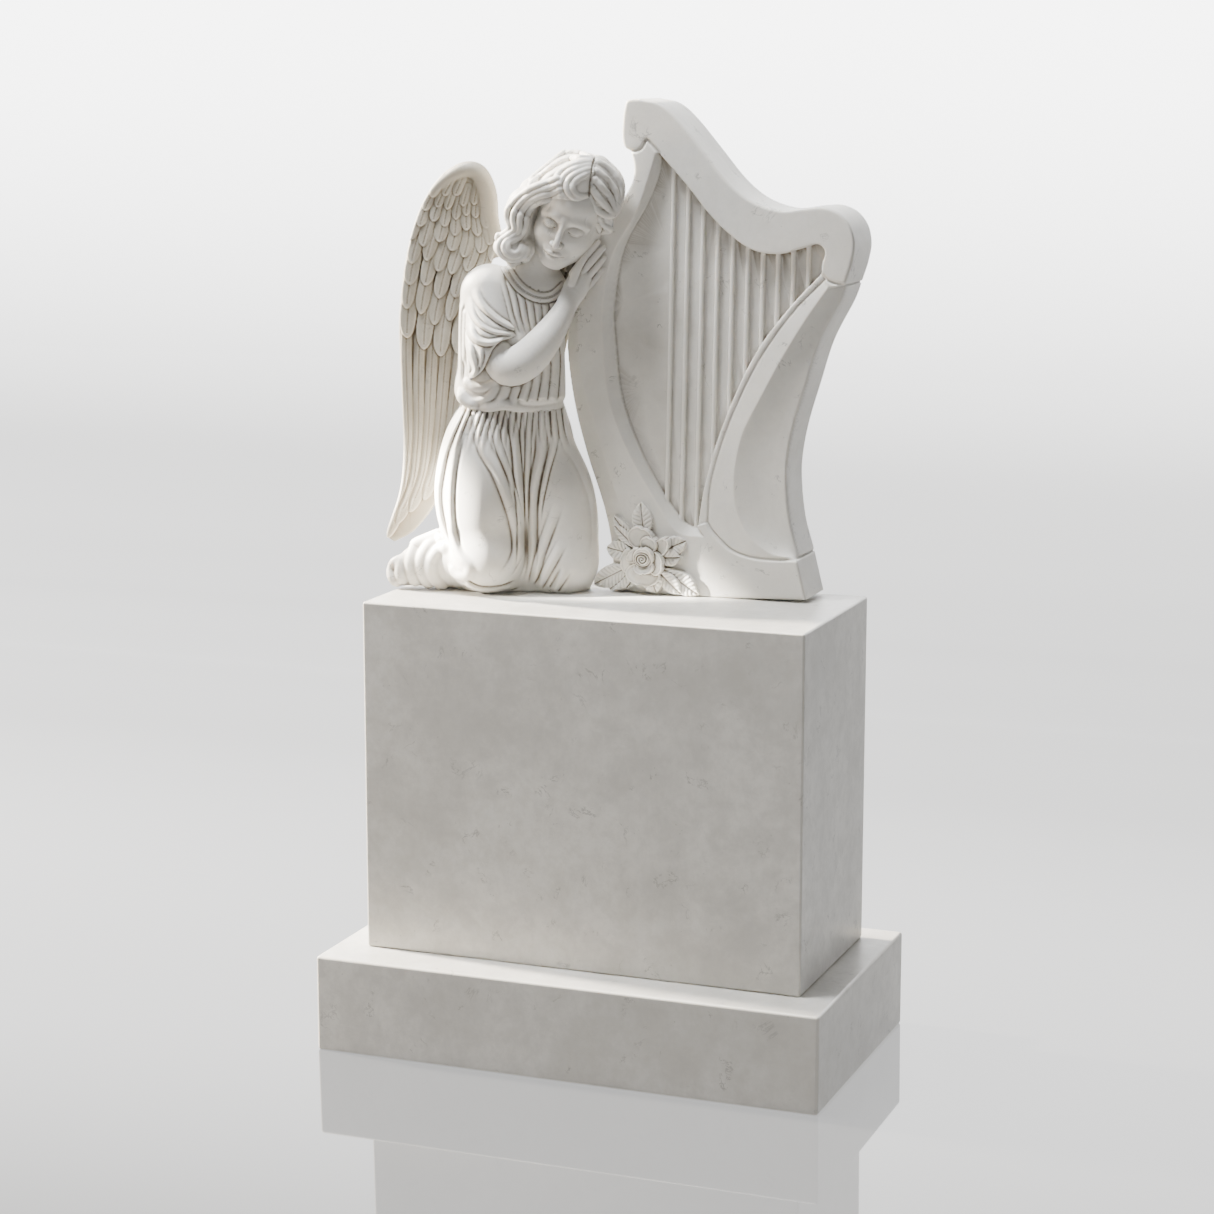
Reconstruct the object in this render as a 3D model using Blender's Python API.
"""Angel headstone: a base slab, a plain die block, and one carving of a kneeling angel and a harp.

Metres, +Z up. The origin is at the middle of the base's underside. The front faces -Y.
The carving is drawn on its own grid of thousandths of a metre and scaled to its real height.
"""

import math

import bmesh
import bpy
import numpy as np
from mathutils import Matrix, Vector
from mathutils.bvhtree import BVHTree

# Real sizes
BASE_WIDTH = 0.860
BASE_DEPTH = 0.480
BASE_HEIGHT = 0.160
DIE_WIDTH = 0.750
DIE_DEPTH = 0.345
DIE_HEIGHT = 0.580
DIE_BACK_MARGIN = 0.055
ARRIS = 0.003
SEAT_GAP = 0.0003

HARP_HEIGHT = 0.802
HARP_THICKNESS = 0.103
HARP_SIDE = 0.0
PANEL_DEPTH = 0.020
STRING_WIDTH = 0.0075
STRING_HEIGHT = 0.007
STRING_ROOT = 0.002
STRING_COUNT = 10
GROOVE_WIDTH = 0.005
GROOVE_DEPTH = 0.004
COLUMN_SLOPE = 0.013
COLUMN_EDGE = -0.0004
SOUND_SLOPE = 0.016
SOUND_EDGE_DEPTH = -0.0003
RIM_TOP = 0.002
RIM_DROP = 0.006
CUTTER_CLEARANCE = 0.020

# The angel leans on the harp, so her size and place go with the harp's height
ANGEL_HEIGHT = HARP_HEIGHT * 0.9
ANGEL_LEFT_OF_MIDDLE = HARP_HEIGHT * 0.2182
ANGEL_BEFORE_HARP = HARP_HEIGHT * 0.033
ANGEL_TURN = math.radians(21.2)
CLAY_VOXEL = HARP_HEIGHT / 236
ANGEL_TRIANGLES = 5800

ROSE_RADIUS = 0.039
ROSE_STANDS_OUT = 0.034
LEAF_RIDGE = 0.005
ROSE_VOXEL = ROSE_RADIUS / 32.5
ROSE_TRIANGLES = 1400

# Points closer together than this are one
WELD = 0.00003
SLIVER = 0.00001

# Heights and depths that follow from them
DIE_FOOT = BASE_HEIGHT + SEAT_GAP
DIE_TOP = DIE_FOOT + DIE_HEIGHT
CARVING_FOOT = DIE_TOP + SEAT_GAP
DIE_BACK = BASE_DEPTH / 2 - DIE_BACK_MARGIN
HARP_BACK = DIE_BACK
HARP_FRONT = HARP_BACK - HARP_THICKNESS

# The grids that the harp and the angel are drawn on
HARP_DRAWN = 802.0
ANGEL_DRAWN = 722.0
HARP_UNIT = HARP_HEIGHT / HARP_DRAWN
ANGEL_UNIT = ANGEL_HEIGHT / ANGEL_DRAWN


def clear_scene():
    for old in list(bpy.data.objects):
        bpy.data.objects.remove(old)


def stone(name, colour, roughness):
    """White marble, a little darker or lighter from block to block."""
    material = bpy.data.materials.new(name)
    material.use_nodes = True
    shader = material.node_tree.nodes["Principled BSDF"]
    shader.inputs["Base Color"].default_value = (*colour, 1.0)
    shader.inputs["Roughness"].default_value = roughness
    shader.inputs["Metallic"].default_value = 0.0
    return material


def object_from(name, bm, material=None):
    mesh = bpy.data.meshes.new(name)
    bm.to_mesh(mesh)
    bm.free()
    made = bpy.data.objects.new(name, mesh)
    bpy.context.scene.collection.objects.link(made)
    if material:
        mesh.materials.append(material)
    return made


def smooth_curve(points, steps=4):
    """Points along a smooth curve through the given ones, any number of coordinates each."""
    knots = [np.array(p, float) for p in points]
    knots = [2 * knots[0] - knots[1], *knots, 2 * knots[-1] - knots[-2]]
    curve = []
    for before, start, end, after in zip(knots, knots[1:], knots[2:], knots[3:]):
        for step in range(steps):
            t = step / steps
            curve.append(
                0.5
                * (
                    2 * start
                    + (end - before) * t
                    + (2 * before - 5 * start + 4 * end - after) * t**2
                    + (3 * start - before - 3 * end + after) * t**3
                )
            )
    return [*curve, knots[-2]]


def evenly(points, count):
    """The same line with count points at equal distances."""
    line = np.array(points, float)
    along = np.concatenate([[0], np.cumsum(np.linalg.norm(np.diff(line, axis=0), axis=1))])
    wanted = np.linspace(0, along[-1], count)
    return [np.array([np.interp(w, along, line[:, axis]) for axis in range(line.shape[1])]) for w in wanted]


def skin(rings, closed_ends=True):
    """A closed bmesh through rings of points, which all have the same number of points."""
    bm = bmesh.new()
    rows = [[bm.verts.new(p) for p in ring] for ring in rings]
    count = len(rows[0])
    for row, following in zip(rows, rows[1:]):
        for i in range(count):
            bm.faces.new((row[i], row[(i + 1) % count], following[(i + 1) % count], following[i]))
    if closed_ends:
        bm.faces.new(reversed(rows[0]))
        bm.faces.new(rows[-1])
    bmesh.ops.recalc_face_normals(bm, faces=bm.faces)
    return bm


def cut(body, cutter, operation="DIFFERENCE"):
    """Adds a Boolean and keeps its cutter out of the part."""
    change = body.modifiers.new(f"{operation.lower()} {cutter.name}", "BOOLEAN")
    change.operation = operation
    change.object = cutter
    change.solver = "EXACT"
    cutter.hide_render = True
    cutter.display_type = "WIRE"


# Base slab and die

def block(name, width, depth, height, foot, back, material):
    """A sawn and polished block with small arrises, its back face at Y = back."""
    bm = bmesh.new()
    bmesh.ops.create_cube(bm, size=1.0)
    bmesh.ops.scale(bm, vec=(width, depth, height), verts=bm.verts)
    made = object_from(name, bm, material)
    made.location = (0, back - depth / 2, foot + height / 2)
    arris = made.modifiers.new("arris", "BEVEL")
    arris.width = ARRIS
    arris.segments = 2
    return made


# Harp

LEFT_EDGE = [(-36, -6), (-42, 78), (-57, 144), (-84, 222), (-105, 298), (-117, 372), (-118, 420),
             (-106, 480), (-84, 540), (-52, 597), (-17, 642), (0, 672), (2, 697), (-3, 719)]
CROWN = [(-3, 719), (-14, 726), (-18, 742), (-17, 766), (-14, 788), (-8, 800), (12, 802)]
NECK_TOP = [(12, 802), (47, 794), (79, 768), (121, 720), (162, 673), (202, 643), (249, 629),
            (290, 633), (322, 635), (349, 625), (367, 603), (373, 575), (368, 545), (358, 514)]
POST_EDGE = [(358, 514), (347, 484), (314, 420), (292, 350), (272, 282), (262, 225),
             (262, 180), (269, 125), (284, 72), (304, -6)]
NECK_UNDER = [(46, 716), (92, 667), (144, 608), (199, 568), (246, 560), (282, 569), (312, 577),
              (325, 565), (320, 546), (320, 532)]
SOUND_EDGE = [(318, 530), (269, 479), (219, 415), (183, 349), (148, 263), (125, 183), (114, 117)]
SOUND_RIM = [(325, 523), (276, 474), (228, 410), (190, 342), (156, 260), (135, 184), (131, 122)]
SOUND_RIDGE = [(330, 508), (294, 457), (255, 394), (221, 332), (190, 271), (177, 205),
               (179, 155), (200, 109), (237, 80), (280, 71)]
SOUND_FOOT = [(131, 121), (142, 106), (175, 79), (221, 69), (286, 71)]
COLUMN_INNER = [(114, 113), (89, 118), (49, 167), (9, 237), (-22, 318), (-35, 415), (-36, 475),
                (-19, 563), (22, 637), (41, 684), (46, 716)]
COLUMN_BEVEL = [(128, 98), (78, 106), (30, 172), (-12, 243), (-42, 322), (-52, 415), (-51, 475),
                (-36, 548), (8, 624), (30, 684), (40, 716)]
COLUMN_RIDGE = [(8, -6), (0, 70), (-14, 128), (-38, 191), (-66, 280), (-89, 350), (-95, 413), (-92, 484)]
CROWN_CURL = [(-6, 719), (7, 720), (17, 725), (24, 737), (31, 732), (46, 716)]
SHOULDER_JOINT = [(319, 532), (327, 523), (340, 517), (366, 514)]

# Where the strings start on the same grid, how far they lean, and how far their ends are sunk in
STRING_FIRST = 66.0
STRING_LAST = 294.0
STRING_LEAN = 0.018
STRING_SUNK = 4.0


def on_harp(x, z, y):
    return Vector((HARP_SIDE + x * HARP_UNIT, y, CARVING_FOOT + z * HARP_UNIT))


def slab(name, outline, front, back):
    """An outline in the harp's plane, cut through from front to back."""
    return object_from(name, skin([[on_harp(x, z, y) for x, z in outline] for y in (front, back)]))


def line_at(line, z):
    """How far to the right a rising or falling line lies at height z."""
    path = np.array(sorted((point[1], point[0]) for point in smooth_curve(line)), float)
    return float(np.interp(z, path[:, 0], path[:, 1]))


def bevel_cutter(name, high_line, low_line, high_depth, low_depth, beyond=0.0, count=26):
    """Takes away what stands in front of a slanting band between two lines on the harp's face.

    Beyond carries the low side on past its line, to run out into the hollow next to it.
    """
    clear = HARP_FRONT - CUTTER_CLEARANCE
    heights = [[z for _, z in line] for line in (high_line, low_line)]
    lowest, highest = max(map(min, heights)), min(map(max, heights))
    rings = []
    for z in np.linspace(lowest, highest, count):
        high, low = line_at(high_line, z), line_at(low_line, z)
        past = low + math.copysign(beyond, low - high)
        high_face, low_face = HARP_FRONT + high_depth, HARP_FRONT + low_depth
        ring = [(high, clear), (past, clear), (past, low_face), (high, high_face)]
        if beyond:
            ring.insert(3, (low, low_face))
        rings.append([on_harp(x, z, y) for x, y in ring])
    return object_from(name, skin(rings))


def groove_cutter(name, line, width, depth, count=20):
    """A V cut along a line on the harp's face."""
    path = evenly(smooth_curve(line), count)
    rings = []
    for before, here, after in zip([path[0], *path], path, [*path[1:], path[-1]]):
        ahead = (after - before) / np.linalg.norm(after - before)
        side = Vector((-ahead[1], 0, ahead[0])) * width / 2
        middle = on_harp(*here, HARP_FRONT)
        above = middle - Vector((0, depth * 0.4, 0))
        rings.append([above + side * 1.4, above - side * 1.4, middle + Vector((0, depth, 0))])
    return object_from(name, skin(rings))


def harp_outline():
    edges = [LEFT_EDGE, CROWN, NECK_TOP, POST_EDGE]
    outline = []
    for edge, steps in zip(edges, (3, 2, 3, 3)):
        outline += smooth_curve(edge, steps)[:-1]
    return [*outline, np.array(POST_EDGE[-1], float)]


def panel_outline():
    edges = [NECK_UNDER, SOUND_EDGE, COLUMN_INNER]
    outline = []
    for edge in edges:
        outline += smooth_curve(edge, 3)[:-1]
    return outline


def line_height(line, x):
    """The height at x of a line that runs from left to right or from right to left."""
    across = np.array(sorted(map(tuple, smooth_curve(line))), float)
    return float(np.interp(x, across[:, 0], across[:, 1]))


def string_bar(index):
    """One string: a bar that stands out of the panel, from the neck down to the frame."""
    top_x = STRING_FIRST + (STRING_LAST - STRING_FIRST) * index / (STRING_COUNT - 1)
    top = line_height(NECK_UNDER, top_x) + STRING_SUNK
    foot_x = top_x
    for _ in range(6):
        if foot_x > SOUND_EDGE[-1][0]:
            foot = line_height(SOUND_EDGE, foot_x)
        else:
            foot = line_height(COLUMN_INNER[:6], foot_x)
        foot_x = top_x - STRING_LEAN * (top - foot)
    foot -= STRING_SUNK
    half = STRING_WIDTH / 2
    floor = HARP_FRONT + PANEL_DEPTH + STRING_ROOT
    face = HARP_FRONT + PANEL_DEPTH - STRING_HEIGHT
    rounded = face + half * 0.6
    rings = []
    for x, z in ((foot_x, foot), (top_x, top)):
        middle = on_harp(x, z, 0)
        profile = ((-half, floor), (half, floor), (half, rounded), (half * 0.5, face), (-half * 0.5, face),
                   (-half, rounded))
        rings.append([Vector((middle.x + dx, y, middle.z)) for dx, y in profile])
    return object_from(f"string_{index + 1}", skin(rings))


def build_harp(material):
    harp = slab("harp", harp_outline(), HARP_FRONT, HARP_BACK)
    harp.data.materials.append(material)
    cut(harp, slab("panel_cutter", panel_outline(), HARP_FRONT - CUTTER_CLEARANCE, HARP_FRONT + PANEL_DEPTH))
    cut(harp, bevel_cutter("column_inner_bevel", COLUMN_BEVEL, COLUMN_INNER, 0.0, PANEL_DEPTH * 0.7, 3))
    outside = [(x - 4, z) for x, z in LEFT_EDGE[:9]]
    cut(harp, bevel_cutter("column_outer_bevel", COLUMN_RIDGE, outside, COLUMN_EDGE, COLUMN_SLOPE))
    beyond = [(x + 3, z) for x, z in POST_EDGE[:9]]
    cut(harp, bevel_cutter("sound_bevel", SOUND_RIDGE, beyond, SOUND_EDGE_DEPTH, SOUND_SLOPE))
    cut(harp, bevel_cutter("sound_rim_step", SOUND_RIM, SOUND_EDGE, RIM_TOP, RIM_DROP, 3))
    for name, line in {"crown": CROWN_CURL, "shoulder": SHOULDER_JOINT, "foot": SOUND_FOOT}.items():
        cut(harp, groove_cutter(f"{name}_groove", line, GROOVE_WIDTH, GROOVE_DEPTH))
    for index in range(STRING_COUNT):
        cut(harp, string_bar(index), "UNION")
    return harp


# Clay: the angel is built up from eggs and tapered rolls, then fused into one surface

def on_angel(a, b, c):
    """A place in the world, from the angel's grid: a to the right as seen, b to the viewer, c up."""
    across = Vector((math.cos(ANGEL_TURN), math.sin(ANGEL_TURN), 0))
    ahead = Vector((math.sin(ANGEL_TURN), -math.cos(ANGEL_TURN), 0))
    foot = Vector((-ANGEL_LEFT_OF_MIDDLE, HARP_FRONT - ANGEL_BEFORE_HARP, CARVING_FOOT))
    return foot + (across * a + ahead * b + Vector((0, 0, c))) * ANGEL_UNIT


def leaning(right=0.0, nod=0.0, turn=0.0):
    """A turn in degrees: the top leans to the right, the front nods down, the front turns to the right."""
    return (
        Matrix.Rotation(math.radians(right), 3, "Y")
        @ Matrix.Rotation(math.radians(nod), 3, "X")
        @ Matrix.Rotation(math.radians(turn), 3, "Z")
    )


def turned(centre, lean, right, ahead, up):
    """A point given along the right, front and top of a leaning form, on the angel's grid."""
    moved = lean @ Vector((right, -ahead, up))
    return (centre[0] + moved.x, centre[1] - moved.y, centre[2] + moved.z)


def add(clay, bm):
    """Joins a closed piece of clay to the rest."""
    mesh = bpy.data.meshes.new("clay")
    bmesh.ops.recalc_face_normals(bm, faces=bm.faces)
    bm.to_mesh(mesh)
    bm.free()
    clay.from_mesh(mesh)
    bpy.data.meshes.remove(mesh)


def egg(clay, centre, radii, lean=None, segments=20):
    """A rounded lump with its radii to the right, to the front and up."""
    lean = lean or leaning()
    made = bmesh.new()
    bmesh.ops.create_uvsphere(made, u_segments=segments, v_segments=segments // 2 + 2, radius=1.0)
    for vertex in made.verts:
        right, ahead, up = (share * radius for share, radius in zip(vertex.co, radii))
        vertex.co = on_angel(*turned(centre, lean, right, ahead, up))
    add(clay, made)


def round_end(end, before, size, ring):
    """A smaller ring past the end of a roll, which rounds it off."""
    away = (end - before).normalized()
    return [end + (point - end) * 0.6 + away * size * 0.7 for point in ring]


def roll(clay, points, radii, flat=1.0, sides=8, steps=4):
    """A tapered roll along a smooth line through points, squeezed from the front by flat."""
    if np.isscalar(radii):
        radii = [radii * 0.6, *[radii] * (len(points) - 2), radii * 0.6]
    stations = smooth_curve([(*point, radius) for point, radius in zip(points, radii)], steps)
    path = [Vector(station[:3]) for station in stations]
    sizes = [max(station[3], 1.0) for station in stations]
    rings = []
    for i, (here, size) in enumerate(zip(path, sizes)):
        ahead = (path[min(i + 1, len(path) - 1)] - path[max(i - 1, 0)]).normalized()
        side = ahead.cross(Vector((0, 1, 0)))
        side = side.normalized() if side.length > 0.05 else Vector((1, 0, 0))
        depth = side.cross(ahead).normalized()
        turns = [2 * math.pi * k / sides for k in range(sides)]
        rings.append([here + (side * math.cos(t) + depth * math.sin(t) * flat) * size for t in turns])
    start = round_end(path[0], path[1], sizes[0], rings[0])
    end = round_end(path[-1], path[-2], sizes[-1], rings[-1])
    rings = [start, *rings, end]
    add(clay, skin([[on_angel(*point) for point in ring] for ring in rings]))


def upright(clay, sections, sides=26):
    """Clay through level oval sections, each (a, b, half width, half depth, c)."""
    turns = [2 * math.pi * k / sides for k in range(sides)]
    rings = []
    for a, b, wide, deep, c in smooth_curve(sections, 4):
        rings.append([on_angel(a + wide * math.cos(t), b + deep * math.sin(t), c) for t in turns])
    add(clay, skin(rings))


def between(first, last, count):
    """Lines that lead from one line to another in even steps, both included."""
    stations = max(len(first), len(last))
    first, last = (np.array(evenly(smooth_curve(line), stations)) for line in (first, last))
    return [first + (last - first) * share for share in np.linspace(0, 1, count)]


def lay(clay, lines, radius, sink=0.35, behind=False):
    """Lays rolls on the clay's front, or on its back, along lines drawn as seen from there."""
    surface = BVHTree.FromBMesh(clay)
    way = -1 if behind else 1
    ahead = (on_angel(0, -way, 0) - on_angel(0, 0, 0)).normalized()
    for line in lines:
        resting = []
        for a, c in line:
            start = on_angel(a, way * 400, c)
            hit = surface.ray_cast(start, ahead)[3]
            if hit is not None:
                resting.append((a, way * (400 - hit / ANGEL_UNIT - radius * sink), c))
        if len(resting) > 1:
            roll(clay, resting, radius, steps=2, sides=6)


def evaluated(made):
    """The object with its modifiers applied."""
    graph = bpy.context.evaluated_depsgraph_get()
    mesh = bpy.data.meshes.new_from_object(made.evaluated_get(graph))
    made.modifiers.clear()
    made.data = mesh
    return made


def fuse(name, clay, voxel, smoothing, triangles):
    """One closed surface round all the clay, its creases eased, with about so many triangles."""
    made = object_from(name, clay)
    remesh = made.modifiers.new("fuse", "REMESH")
    remesh.mode = "VOXEL"
    remesh.voxel_size = voxel
    ease = made.modifiers.new("ease", "SMOOTH")
    ease.factor = 0.5
    ease.iterations = smoothing
    evaluated(made)
    thin = made.modifiers.new("thin out", "DECIMATE")
    thin.ratio = triangles / sum(len(face.vertices) - 2 for face in made.data.polygons)
    return evaluated(made)


# Angel

HEAD = (84, 26, 622)
HEAD_LEAN = leaning(right=21, nod=16, turn=-4)
CURL_LINES = [
    [(20, 668), (-6, 650), (-23, 625), (-18, 598), (-34, 583), (-50, 577)],
    [(24, 655), (0, 636), (-12, 612), (-8, 588), (-26, 570), (-46, 568)],
    [(22, 642), (8, 622), (2, 598), (4, 572), (-14, 552), (-38, 556)],
]
CROWN_FIRST = [(112, 704), (84, 712), (52, 704), (26, 684), (8, 664)]
CROWN_LAST = [(114, 678), (104, 655), (84, 646), (62, 654), (40, 648)]
TEMPLE_FIRST = [(116, 704), (136, 690), (150, 662), (150, 636)]
TEMPLE_LAST = [(112, 672), (108, 648), (120, 622), (142, 614)]

THIGH_FOLDS_FIRST = [(-74, 300), (-71, 257), (-46, 222), (-25, 179), (-12, 129), (-12, 93), (-26, 71)]
THIGH_FOLDS_LAST = [(33, 300), (37, 250), (29, 186), (22, 136), (17, 93), (9, 50), (-12, 6)]
GATHERS_FIRST = [(-100, 304), (-118, 268), (-128, 240)]
GATHERS_LAST = [(60, 300), (66, 262), (82, 222)]
OUTER_FOLD = [(-95, 310), (-117, 271), (-134, 222), (-142, 172), (-137, 122), (-122, 78), (-106, 60)]
KNEE_SWIRL = [(-137, 122), (-122, 78), (-104, 62), (-100, 46), (-114, 34), (-128, 42), (-130, 60)]
KNEE_FAN = [
    [(58, 154), (45, 122), (27, 71), (12, 16)],
    [(63, 86), (41, 53), (16, 14)],
    [(66, 44), (42, 8)],
]
TRAIL_FIRST = [(-148, 112), (-176, 98), (-196, 72), (-204, 43), (-202, 8)]
TRAIL_LAST = [(-134, 84), (-148, 68), (-152, 44), (-144, 19), (-126, 2)]

COLLAR = [[(-46, 546), (-34, 528), (-13, 503), (7, 485), (28, 476), (44, 481), (62, 495)],
          [(-15, 544), (-5, 522), (7, 503), (22, 491), (38, 491), (56, 501)]]
PLEATS_FIRST = [(-36, 514), (-28, 483), (-21, 450), (-10, 428)]
PLEATS_LAST = [(52, 484), (54, 462), (54, 440), (54, 420)]
SLEEVE_FOLDS = [
    [(-76, 491), (-60, 469), (-37, 450), (-13, 432)],
    [(-89, 470), (-76, 444), (-48, 434), (-13, 426)],
    [(-90, 470), (-84, 436), (-68, 415), (-50, 415), (-29, 424)],
    [(-94, 450), (-89, 417), (-86, 389), (-90, 360)],
]
SLEEVE_HEM = [(-7, 421), (-21, 424), (-38, 417), (-50, 403), (-57, 389), (-65, 368), (-89, 353)]
WAIST_FOLDS_FIRST = [(8, 372), (2, 345), (-16, 322)]
WAIST_FOLDS_LAST = [(62, 420), (63, 372), (60, 312)]
SWAGS = [[(-96, 350), (-76, 340), (-54, 345), (-38, 364)], [(-104, 334), (-84, 320), (-60, 330), (-38, 352)]]

WING_OUTER = [(-92, 698), (-134, 680), (-168, 636), (-189, 580), (-202, 518), (-210, 438), (-208, 347),
              (-205, 235), (-214, 160), (-238, 84)]
WING_INNER = [(-88, 696), (-62, 668), (-60, 610), (-50, 560), (-70, 500), (-92, 430), (-104, 350),
              (-122, 235), (-148, 150), (-212, 66)]
WING_ROWS = [(0.16, 5, 26), (0.25, 5, 34), (0.34, 4, 42), (0.45, 4, 52), (0.57, 4, 62)]
WING_FRONT = -28
WING_THICK = 20


# Level ovals through the hips and the trunk: right, ahead, half width, half depth, up
HIPS = [(-6, -10, 108, 60, 120), (-12, -6, 104, 60, 190), (-17, 0, 90, 56, 250), (-21, 0, 80, 50, 314)]
TRUNK = [(-22, 0, 82, 50, 306), (-24, 3, 90, 58, 322), (-24, 3, 92, 60, 344), (-22, 1, 86, 56, 385),
         (-18, 0, 82, 52, 430), (-13, 0, 84, 50, 468), (-6, -2, 78, 46, 498), (4, -4, 58, 38, 522),
         (16, -2, 30, 28, 542)]

SKIRT_BACK_FIRST = [(-90, 300), (-100, 200), (-110, 100), (-120, 8)]
SKIRT_BACK_LAST = [(52, 300), (72, 200), (88, 100), (96, 8)]
BLOUSE_BACK_FIRST = [(-80, 480), (-84, 400), (-92, 330)]
BLOUSE_BACK_LAST = [(40, 480), (44, 400), (50, 330)]
HAIR_BACK_FIRST = [(104, 706), (50, 700), (4, 650), (-18, 596), (-30, 556)]
HAIR_BACK_LAST = [(118, 700), (146, 660), (138, 610), (104, 570), (66, 552)]
FAR_WING_OUTER = [(138, 668), (112, 660), (60, 600), (10, 520), (-16, 400), (-14, 260), (4, 130)]
FAR_WING_INNER = [(142, 668), (152, 650), (130, 596), (96, 500), (66, 400), (40, 260), (8, 126)]
FAR_QUILL_FIRST = [(100, 640), (20, 500), (0, 300), (2, 150)]
FAR_QUILL_LAST = [(140, 640), (86, 480), (50, 330), (10, 150)]


def skirt_clay(clay):
    egg(clay, (-74, 8, 168), (76, 76, 152))
    egg(clay, (-68, 24, 58), (66, 66, 62))
    egg(clay, (56, -6, 96), (62, 58, 148))
    egg(clay, (56, 4, 48), (62, 58, 52))
    upright(clay, HIPS)
    egg(clay, (-15, -46, 100), (98, 58, 108))
    roll(clay, [(-105, -8, 60), (-160, -8, 50), (-196, -6, 36), (-218, -4, 24)], [60, 47, 31, 16], sides=14)
    lay(clay, between(THIGH_FOLDS_FIRST, THIGH_FOLDS_LAST, 6), 7, 0.1)
    lay(clay, between(GATHERS_FIRST, GATHERS_LAST, 9), 6, 0.1)
    lay(clay, [OUTER_FOLD, KNEE_SWIRL, *KNEE_FAN], 8, 0.1)
    lay(clay, between(TRAIL_FIRST, TRAIL_LAST, 4), 11, 0.1)
    lay(clay, between(SKIRT_BACK_FIRST, SKIRT_BACK_LAST, 8), 8, behind=True)


def torso_clay(clay):
    upright(clay, TRUNK)
    egg(clay, (-62, 6, 488), (42, 40, 44))
    roll(clay, [(14, 0, 512), (32, 8, 560), (56, 14, 596)], [29, 27, 28], sides=12)
    roll(clay, [(-64, 8, 490), (-72, 22, 440), (-72, 34, 400), (-76, 36, 364)], [42, 46, 42, 30], sides=14)
    roll(clay, [(-84, 10, 430), (-90, 14, 380), (-84, 22, 345)], [24, 28, 24], sides=12)
    lay(clay, SWAGS, 9)
    lay(clay, SLEEVE_FOLDS, 8, 0.1)
    lay(clay, [SLEEVE_HEM], 8, 0.0)
    lay(clay, between(PLEATS_FIRST, PLEATS_LAST, 6), 6, 0.1)
    lay(clay, between(WAIST_FOLDS_FIRST, WAIST_FOLDS_LAST, 4), 7, 0.1)
    lay(clay, COLLAR, 6, 0.0)
    lay(clay, between(BLOUSE_BACK_FIRST, BLOUSE_BACK_LAST, 6), 6, behind=True)


def arm_clay(clay):
    roll(clay, [(-44, 44, 392), (-24, 60, 376), (20, 62, 422), (66, 44, 478)], [30, 33, 31, 16], sides=14)
    roll(clay, [(66, 44, 478), (80, 34, 502), (92, 26, 520)], [17, 22, 20], flat=0.55, sides=12)
    for start, tip in (((82, 30, 530), (119, 22, 571)), ((89, 27, 525), (125, 19, 562)),
                       ((95, 25, 518), (124, 17, 546)), ((98, 24, 510), (123, 16, 534))):
        roll(clay, [start, tuple((p + q) / 2 for p, q in zip(start, tip)), tip], [8, 7.5, 5.5], sides=8)


def head_clay(clay):
    def place(right, ahead, up):
        return turned(HEAD, HEAD_LEAN, right, ahead, up)

    egg(clay, place(0, -6, 22), (64, 80, 72), HEAD_LEAN)
    egg(clay, place(0, 20, -18), (50, 56, 70), HEAD_LEAN)
    egg(clay, place(0, 44, -74), (20, 20, 16), HEAD_LEAN)
    roll(clay, [place(0, 68, 4), place(0, 84, -24), place(0, 72, -34)], [5, 9, 5], sides=8)
    roll(clay, [place(-14, 66, -52), place(0, 72, -50), place(14, 66, -52)], [3, 6, 3], sides=8)
    for side in (-1, 1):
        brow = [place(side * 10, 66, 12), place(side * 26, 64, 15), place(side * 42, 52, 8)]
        roll(clay, brow, [4, 6, 4], sides=8)
        egg(clay, place(side * 23, 56, -2), (12, 12, 8), HEAD_LEAN, 12)
    roll(clay, [(20, 30, 672), (-8, 30, 645), (-14, 24, 604), (-20, 18, 572)], [24, 20, 19, 22], sides=12)
    lay(clay, between(CROWN_FIRST, CROWN_LAST, 5), 9)
    lay(clay, between(TEMPLE_FIRST, TEMPLE_LAST, 4), 8)
    lay(clay, CURL_LINES, 10)
    lay(clay, [[(150, 636), (146, 612), (138, 594)], [(128, 620), (140, 606), (144, 592)]], 7)
    lay(clay, between(HAIR_BACK_FIRST, HAIR_BACK_LAST, 7), 10, behind=True)


def wing_plate(clay, outer, inner, front, thick, count=26):
    """A wing as a curved plate between its outer and inner edges."""
    rings = []
    for left, right in zip(evenly(smooth_curve(outer), count), evenly(smooth_curve(inner), count)):
        middle = (left + right) / 2
        ring = []
        for across, deep in ((-1, -0.4), (-0.9, 0.5), (-0.4, 0.3), (0.4, 0.4), (0.9, 0.9), (1, 0),
                             (0.8, -1), (0, -1), (-0.8, -0.9)):
            a, c = middle + (right - middle) * across
            ring.append(on_angel(a, front + thick * (deep - 1), c))
        rings.append(ring)
    add(clay, skin(rings))


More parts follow.
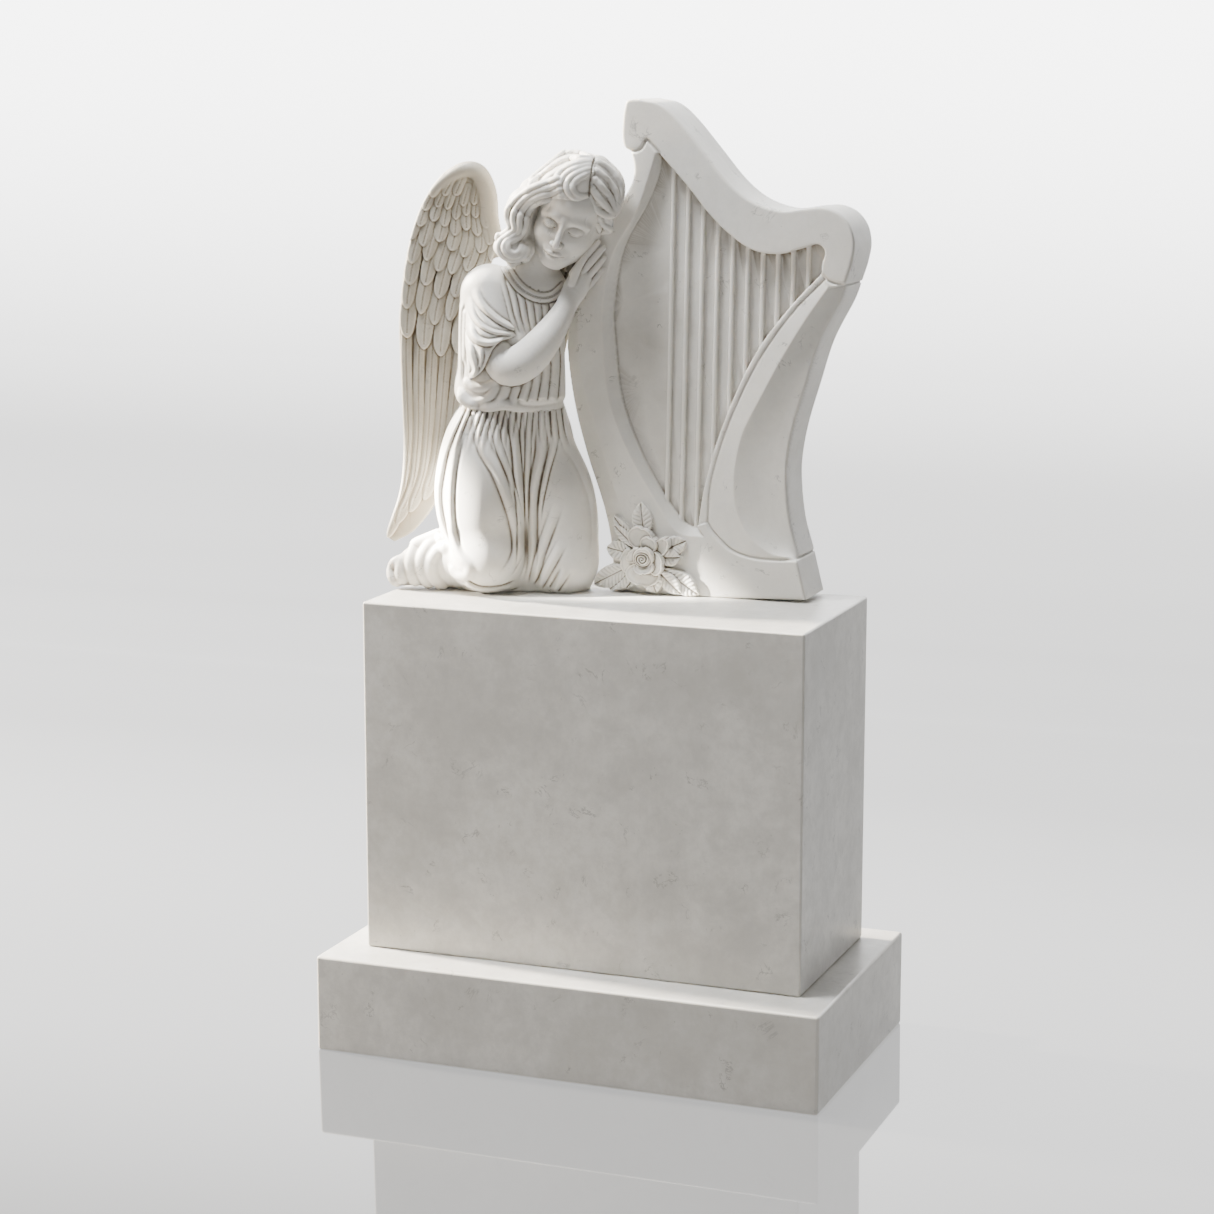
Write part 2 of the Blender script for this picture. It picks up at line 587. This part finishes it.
def wing_clay(clay):
    wing_plate(clay, WING_OUTER, WING_INNER, WING_FRONT, WING_THICK)
    outer, inner = (smooth_curve(edge, 8) for edge in (WING_OUTER, WING_INNER))
    outer, inner = np.array(evenly(outer, 101)), np.array(evenly(inner, 101))

    def place(across, along, lift=0.0):
        a, c = outer[round(along * 100)] * (1 - across) + inner[round(along * 100)] * across
        return (a, WING_FRONT + lift, c)

    for along, count, length in WING_ROWS:
        for number in range(count):
            across = (number + 0.5 + 0.25 * (round(along * 100) % 2)) / (count + 0.25)
            tip = Vector(place(across, along, 4))
            root = Vector(place(across, max(along - 0.09, 0.02), -6))
            wide = (Vector(place(1, along)) - Vector(place(0, along))).length / count * 0.52
            root = tip + (root - tip).normalized() * length
            middle = (root + tip) / 2
            roll(clay, [root, middle, tip], [wide * 0.8, wide, wide * 0.8], flat=0.4, sides=8, steps=2)
    for number in range(4):
        across = (number + 0.55) / 4.2
        line = [place(across, along, 1) for along in (0.5, 0.62, 0.75, 0.86, 0.96)]
        roll(clay, line, [12, 13, 13, 11, 8], flat=0.45, sides=8, steps=2)
    roll(clay, [(-58, -40, 566), (-62, -34, 610), (-66, -30, 655), (-90, -28, 684), (-126, -28, 672),
                (-158, -32, 640)], [20, 18, 17, 16, 12, 8], sides=10)
    wing_plate(clay, FAR_WING_OUTER, FAR_WING_INNER, -44, 18, 20)
    lay(clay, between(FAR_QUILL_FIRST, FAR_QUILL_LAST, 5), 9, behind=True)


# Rose at the harp's foot

ROSE_MIDDLE = (29, 60)
LEAF_ROOT = 0.35
LEAF_TIPS = [(30, 156, 34), (-20, 131, 22), (-23, 113, 20), (-36, 76, 30), (-60, 9, 33), (-31, 7, 26),
             (-3, 6, 20), (60, 5, 28), (92, 6, 27), (131, 8, 34), (98, 69, 30), (107, 97, 34)]


def rose_layer(radius, lobes, turn, back, rim, heart, sides):
    """One ring of petals as a scalloped cup. The depths are in front of the harp's face."""
    rings = []
    for share, depth in ((0.6, back), (1.0, rim * 0.95), (0.93, rim), (0.75, rim * 0.87), (0.1, heart)):
        ring = []
        for k in range(sides):
            angle = 2 * math.pi * k / sides
            reach = radius * share * (0.9 + 0.1 * abs(math.cos(lobes / 2 * angle + turn)) ** 0.6)
            middle = on_harp(*ROSE_MIDDLE, HARP_FRONT - depth)
            ring.append(middle + Vector((reach * math.cos(angle), 0, reach * math.sin(angle))))
        rings.append(ring)
    return skin(rings)


def leaf(tip_x, tip_z, width):
    """A pointed leaf with a ridge along its middle, from under the rose out to its tip."""
    root, tip = Vector(ROSE_MIDDLE), Vector((tip_x, tip_z))
    along = tip - root
    side = Vector((-along.y, along.x)).normalized() * width / 2
    rings = []
    for share, spread, height in ((0.25, 0.5, 0.35), (0.55, 1.0, 0.38), (0.8, 0.7, 0.32), (1.0, 0.04, 0.12)):
        middle = root + along * share
        lift = ROSE_STANDS_OUT * height
        high = lift + LEAF_RIDGE * min(spread * 1.2, 0.8)
        root_depth = -ROSE_STANDS_OUT * LEAF_ROOT
        face = [(-1, lift), (-0.45, high), (0, lift), (0.45, high), (1, lift)]
        under = [(0.6, root_depth), (-0.6, root_depth)]
        ring = []
        for across, depth in face + under:
            ring.append(on_harp(*(middle + side * spread * across), HARP_FRONT - depth))
        rings.append(ring)
    return skin(rings)


def build_rose():
    """The rose's layers and leaves, fused into one."""
    layers = [
        rose_layer(ROSE_RADIUS * size, lobes, turn, *(ROSE_STANDS_OUT * depth for depth in depths), sides)
        for size, lobes, turn, depths, sides in (
            (1.0, 5, 0.3, (-0.29, 0.62, 0.4), 40),
            (0.72, 5, 1.4, (-0.15, 0.82, 0.6), 30),
            (0.44, 4, 0.6, (0.0, 1.0, 0.8), 12),
            (0.2, 3, 0.0, (0.29, 1.02, 0.92), 8),
        )
    ]
    clay = bmesh.new()
    for piece in layers + [leaf(*tip) for tip in LEAF_TIPS]:
        add(clay, piece)
    return fuse("rose", clay, ROSE_VOXEL, 0, ROSE_TRIANGLES)


def build_angel():
    clay = bmesh.new()
    skirt_clay(clay)
    torso_clay(clay)
    arm_clay(clay)
    head_clay(clay)
    wing_clay(clay)
    return fuse("angel_clay", clay, CLAY_VOXEL, 2, ANGEL_TRIANGLES)


def box(name, low, high):
    bm = bmesh.new()
    bmesh.ops.create_cube(bm, size=1.0)
    size = Vector(high) - Vector(low)
    bmesh.ops.scale(bm, vec=size, verts=bm.verts)
    bmesh.ops.translate(bm, vec=(Vector(low) + Vector(high)) / 2, verts=bm.verts)
    return object_from(name, bm)


def finish_carving(carving):
    """Applies the cuts, then clears away the cutters and the slivers they leave."""
    evaluated(carving)
    for helper in [made for made in bpy.data.objects if made.hide_render]:
        bpy.data.objects.remove(helper)
    bm = bmesh.new()
    bm.from_mesh(carving.data)
    bmesh.ops.remove_doubles(bm, verts=bm.verts, dist=WELD)
    bmesh.ops.dissolve_degenerate(bm, edges=bm.edges, dist=SLIVER)
    bmesh.ops.triangulate(bm, faces=bm.faces)
    bm.to_mesh(carving.data)
    bm.free()


def main():
    clear_scene()
    pale = stone("polished marble", (0.80, 0.79, 0.76), 0.45)
    carved = stone("carved marble", (0.84, 0.83, 0.80), 0.5)
    block("base_slab", BASE_WIDTH, BASE_DEPTH, BASE_HEIGHT, 0.0, BASE_DEPTH / 2, pale)
    block("die_block", DIE_WIDTH, DIE_DEPTH, DIE_HEIGHT, DIE_FOOT, DIE_BACK, pale)
    carving = build_harp(carved)
    cut(carving, build_angel(), "UNION")
    cut(carving, build_rose(), "UNION")
    under = (-BASE_WIDTH, -BASE_DEPTH, CARVING_FOOT - DIE_HEIGHT / 2)
    cut(carving, box("ground", under, (BASE_WIDTH, BASE_DEPTH, CARVING_FOOT)))
    finish_carving(carving)
    carving.name = "angel_and_harp"


main()
